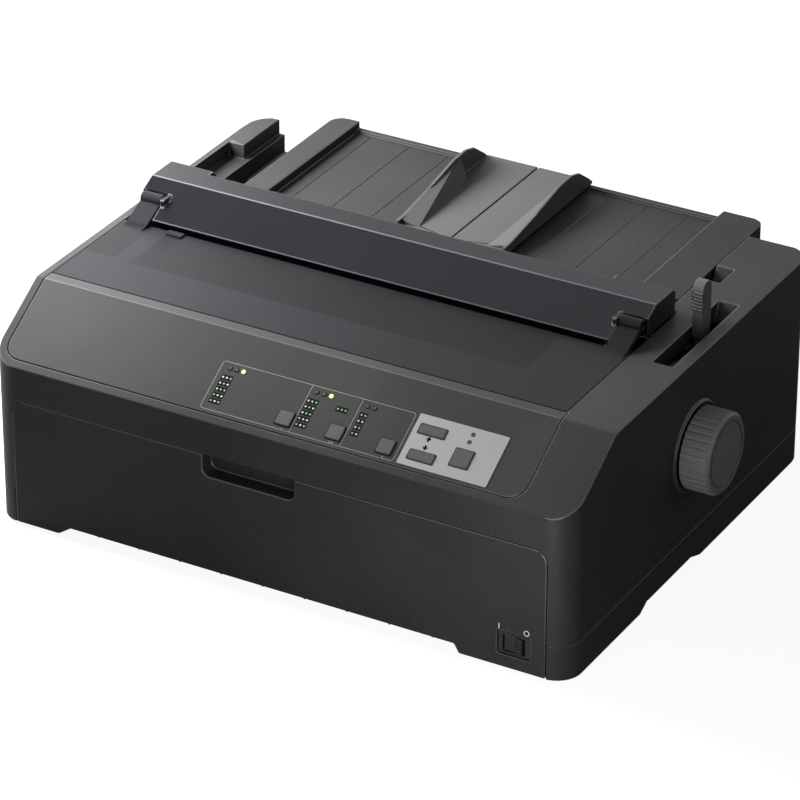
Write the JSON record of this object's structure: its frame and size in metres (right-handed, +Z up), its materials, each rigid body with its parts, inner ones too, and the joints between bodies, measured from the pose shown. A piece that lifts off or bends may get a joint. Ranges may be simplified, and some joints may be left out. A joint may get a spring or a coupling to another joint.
{
  "type": "dot matrix printer",
  "caption": "Desktop impact printer with a sloped control panel, smoked lid and hood, rear sheet tray with sliding edge guides, platen knob and drop-down front cover.",
  "frame": {"origin": "centre of the footprint of the whole printer, on the table", "axes": "+X to the right seen from the front, +Y to the back, +Z up"},
  "size_m": [0.436, 0.362, 0.1815],
  "materials": {
    "shell": "fine moulded grain",
    "smoke": "smoked translucent sheet, fine grain",
    "guide": "fine moulded grain",
    "knob": "fluted rim",
    "label": "brushed sheet",
    "steel": "plain sheet and ground rods",
    "rubber": "matt",
    "gear": "moulded ivory",
    "works": "plain moulded",
    "motor": "satin",
    "blue": "plain moulded",
    "board": "lacquered board",
    "lamp_on": "lit lens",
    "lamp_off": "unlit lens"
  },
  "bodies": {
    "housing": {"base_case": "shell", "rubber_feet": "rubber", "upper_housing": "shell", "front_hinge_pins": "steel", "control_cover": "shell", "label_plate": "label", "panel_board": "board", "lamps_lit": "lamp_on", "lamps_dark": "lamp_off", "hood_hinge_pins": "steel", "tray_pivot_rod": "steel", "side_frame_left": "steel", "side_frame_right": "steel", "cross_frame": "steel", "feed_motor": "motor", "tractor_rod": "steel", "guide_rod": "steel", "drive_belt": "rubber", "carriage_motor": "motor", "ribbon_cartridge": "works", "main_board": "board", "power_supply": "steel", "power_switch": "works", "rear_ports": "works"},
    "front_cover": {"front_cover": "shell"},
    "lid": {"printer_lid": "smoke"},
    "hood": {"hood": "smoke", "lid_hinge_pins": "steel"},
    "tray": {"paper_tray": "shell"},
    "guide_left": {"edge_guide_left": "guide"},
    "guide_right": {"edge_guide_right": "guide"},
    "release_lever": {"release_lever": "guide"},
    "thickness_lever": {"thickness_lever": "blue"},
    "platen": {"platen": "rubber", "platen_shaft": "steel", "platen_knob": "knob", "platen_gear": "gear"},
    "feed_idler": {"feed_idler": "gear"},
    "feed_pinion": {"feed_pinion": "steel"},
    "tractor_idler": {"tractor_idler": "gear"},
    "tractor_shaft": {"tractor_shaft": "steel"},
    "tractor_left": {"tractor_left": "guide"},
    "tractor_right": {"tractor_right": "guide"},
    "flap_left": {"tractor_flap_left": "guide"},
    "flap_right": {"tractor_flap_right": "guide"},
    "sprocket_left": {"sprocket_left": "gear"},
    "sprocket_right": {"sprocket_right": "gear"},
    "bail": {"bail_rollers": "rubber"},
    "carriage": {"carriage": "works", "print_head": "motor"},
    "drive_pulley": {"drive_pulley": "gear"},
    "tension_pulley": {"tension_pulley": "gear"},
    "ribbon_knob": {"ribbon_knob": "blue"},
    "rocker": {"power_rocker": "shell"},
    "key_one": {"key_one": "shell"},
    "key_two": {"key_two": "shell"},
    "key_three": {"key_three": "shell"},
    "key_upper": {"key_upper": "shell"},
    "key_lower": {"key_lower": "shell"},
    "key_right": {"key_right": "shell"}
  },
  "joints": [
    {"name": "front_cover_hinge", "type": "hinge", "parent": "housing", "child": "front_cover", "pos_m": [0, -0.1735, 0.011], "axis": [1, 0, 0], "range_deg": [0, 88]},
    {"name": "hood_hinge", "type": "hinge", "parent": "housing", "child": "hood", "pos_m": [0, 0.03, 0.1475], "axis": [-1, 0, 0], "range_deg": [0, 45]},
    {"name": "lid_hinge", "type": "hinge", "parent": "hood", "child": "lid", "pos_m": [0, -0.0105, 0.16], "axis": [-1, 0, 0], "range_deg": [0, 100]},
    {"name": "tray_hinge", "type": "hinge", "parent": "housing", "child": "tray", "pos_m": [0, 0.0655, 0.136], "axis": [1, 0, 0], "range_deg": [0, 50]},
    {"name": "guide_left_slide", "type": "slide", "parent": "tray", "child": "guide_left", "axis": [1, 0, 0], "range_m": [-0.07, 0]},
    {"name": "guide_right_slide", "type": "slide", "parent": "tray", "child": "guide_right", "axis": [1, 0, 0], "range_m": [0, 0.09]},
    {"name": "release_lever_hinge", "type": "hinge", "parent": "housing", "child": "release_lever", "pos_m": [0, 0.026, 0.063], "axis": [1, 0, 0], "range_deg": [-8, 24]},
    {"name": "thickness_lever_hinge", "type": "hinge", "parent": "housing", "child": "thickness_lever", "pos_m": [0, -0.0715, 0.092], "axis": [1, 0, 0], "range_deg": [-16, 16]},
    {"name": "rocker_tilt", "type": "hinge", "parent": "housing", "child": "rocker", "pos_m": [0.1578, -0.1745, 0.0196], "axis": [0, 0, 1], "range_deg": [0, 14]},
    {"name": "key_one_press", "type": "slide", "parent": "housing", "child": "key_one", "axis": [0, 0.5244, -0.8515], "range_m": [0, 0.0008], "stiffness_N_per_m": 250},
    {"name": "key_two_press", "type": "slide", "parent": "housing", "child": "key_two", "axis": [0, 0.5244, -0.8515], "range_m": [0, 0.0008], "stiffness_N_per_m": 250},
    {"name": "key_three_press", "type": "slide", "parent": "housing", "child": "key_three", "axis": [0, 0.5244, -0.8515], "range_m": [0, 0.0008], "stiffness_N_per_m": 250},
    {"name": "key_upper_press", "type": "slide", "parent": "housing", "child": "key_upper", "axis": [0, 0.5244, -0.8515], "range_m": [0, 0.0008], "stiffness_N_per_m": 250},
    {"name": "key_lower_press", "type": "slide", "parent": "housing", "child": "key_lower", "axis": [0, 0.5244, -0.8515], "range_m": [0, 0.0008], "stiffness_N_per_m": 250},
    {"name": "key_right_press", "type": "slide", "parent": "housing", "child": "key_right", "axis": [0, 0.5244, -0.8515], "range_m": [0, 0.0008], "stiffness_N_per_m": 250},
    {"name": "platen_turn", "type": "hinge", "parent": "housing", "child": "platen", "pos_m": [0, -0.014, 0.0882], "axis": [1, 0, 0], "continuous": true},
    {"name": "feed_idler_turn", "type": "hinge", "parent": "housing", "child": "feed_idler", "pos_m": [0, 0.004, 0.05702], "axis": [1, 0, 0], "continuous": true},
    {"name": "feed_pinion_turn", "type": "hinge", "parent": "housing", "child": "feed_pinion", "pos_m": [0, 0.02045, 0.04752], "axis": [1, 0, 0], "continuous": true},
    {"name": "tractor_idler_turn", "type": "hinge", "parent": "housing", "child": "tractor_idler", "pos_m": [0, 0.02764, 0.09368], "axis": [1, 0, 0], "continuous": true},
    {"name": "tractor_shaft_turn", "type": "hinge", "parent": "housing", "child": "tractor_shaft", "pos_m": [0, 0.06356, 0.09604], "axis": [1, 0, 0], "continuous": true},
    {"name": "bail_turn", "type": "hinge", "parent": "housing", "child": "bail", "pos_m": [0, -0.00603, 0.11009], "axis": [1, 0, 0], "continuous": true},
    {"name": "tractor_left_slide", "type": "slide", "parent": "housing", "child": "tractor_left", "axis": [1, 0, 0], "range_m": [-0.02, 0.08]},
    {"name": "tractor_right_slide", "type": "slide", "parent": "housing", "child": "tractor_right", "axis": [1, 0, 0], "range_m": [-0.08, 0.02]},
    {"name": "sprocket_left_turn", "type": "hinge", "parent": "tractor_left", "child": "sprocket_left", "pos_m": [0, 0.06356, 0.09604], "axis": [1, 0, 0], "continuous": true},
    {"name": "sprocket_right_turn", "type": "hinge", "parent": "tractor_right", "child": "sprocket_right", "pos_m": [0, 0.06356, 0.09604], "axis": [1, 0, 0], "continuous": true},
    {"name": "flap_left_hinge", "type": "hinge", "parent": "tractor_left", "child": "flap_left", "pos_m": [-0.1535, 0.06356, 0.10804], "axis": [0, -1, 0], "range_deg": [0, 85]},
    {"name": "flap_right_hinge", "type": "hinge", "parent": "tractor_right", "child": "flap_right", "pos_m": [0.1035, 0.06356, 0.10804], "axis": [0, 1, 0], "range_deg": [0, 85]},
    {"name": "carriage_slide", "type": "slide", "parent": "housing", "child": "carriage", "axis": [1, 0, 0], "range_m": [0, 0.25]},
    {"name": "drive_pulley_turn", "type": "hinge", "parent": "housing", "child": "drive_pulley", "pos_m": [-0.179, -0.0875, 0.056], "axis": [0, 0, 1], "range_deg": [-1800, 0]},
    {"name": "tension_pulley_turn", "type": "hinge", "parent": "housing", "child": "tension_pulley", "pos_m": [0.139, -0.0875, 0.056], "axis": [0, 0, 1], "range_deg": [-1800, 0]},
    {"name": "ribbon_knob_turn", "type": "hinge", "parent": "housing", "child": "ribbon_knob", "pos_m": [-0.161, -0.0735, 0.12], "axis": [0, 0, 1], "continuous": true}
  ],
  "couplings": [
    {"joint": "feed_idler_turn", "follows": "platen_turn", "ratio": -2},
    {"joint": "feed_pinion_turn", "follows": "platen_turn", "ratio": 3.4286},
    {"joint": "tractor_idler_turn", "follows": "platen_turn", "ratio": -1.3333},
    {"joint": "tractor_shaft_turn", "follows": "platen_turn", "ratio": 1.3333},
    {"joint": "sprocket_left_turn", "follows": "platen_turn", "ratio": 1.3333},
    {"joint": "sprocket_right_turn", "follows": "platen_turn", "ratio": 1.3333},
    {"joint": "bail_turn", "follows": "platen_turn", "ratio": -2.8333},
    {"joint": "drive_pulley_turn", "follows": "carriage_slide", "rad_per_m": -125},
    {"joint": "tension_pulley_turn", "follows": "carriage_slide", "rad_per_m": -125}
  ]
}
